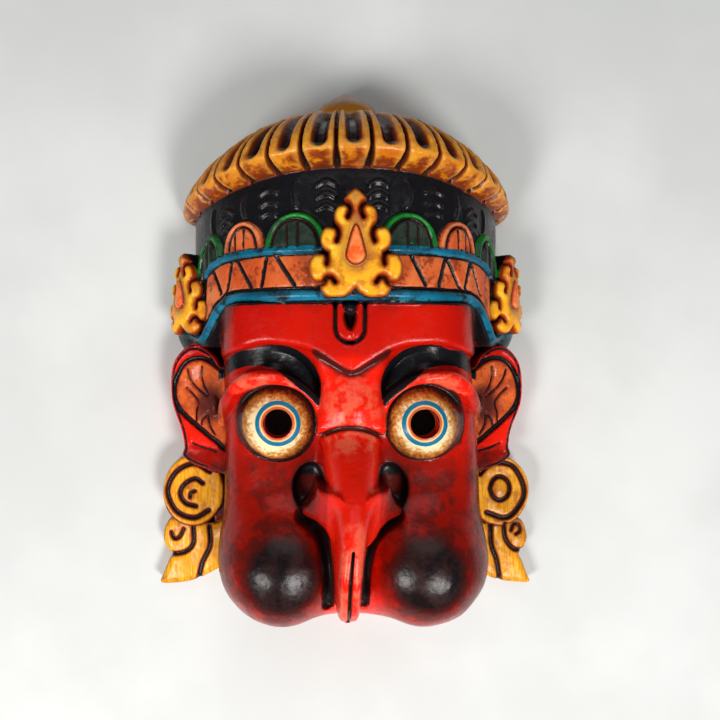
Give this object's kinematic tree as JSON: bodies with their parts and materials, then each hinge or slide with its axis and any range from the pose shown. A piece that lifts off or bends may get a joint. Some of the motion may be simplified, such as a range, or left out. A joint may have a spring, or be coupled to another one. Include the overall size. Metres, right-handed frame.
{
  "type": "tibetan cham mask",
  "caption": "Carved and painted wooden dance mask of a beaked bird deity with bulging eyes, petal crown, large ears and ear ornaments, hollow behind.",
  "frame": {"origin": "on the plane of the flat back rim, below the middle of the outline", "axes": "+Z out of the face, +Y towards the crown, +X to the right as seen by a viewer"},
  "size_m": [0.3004, 0.409, 0.1476],
  "materials": {
    "painted_wood": "hand-painted vermilion face with ochre, blue, green and black crown, antiqued and varnished to a satin gloss"
  },
  "bodies": {
    "root": {"mask": "painted_wood"}
  },
  "joints": []
}
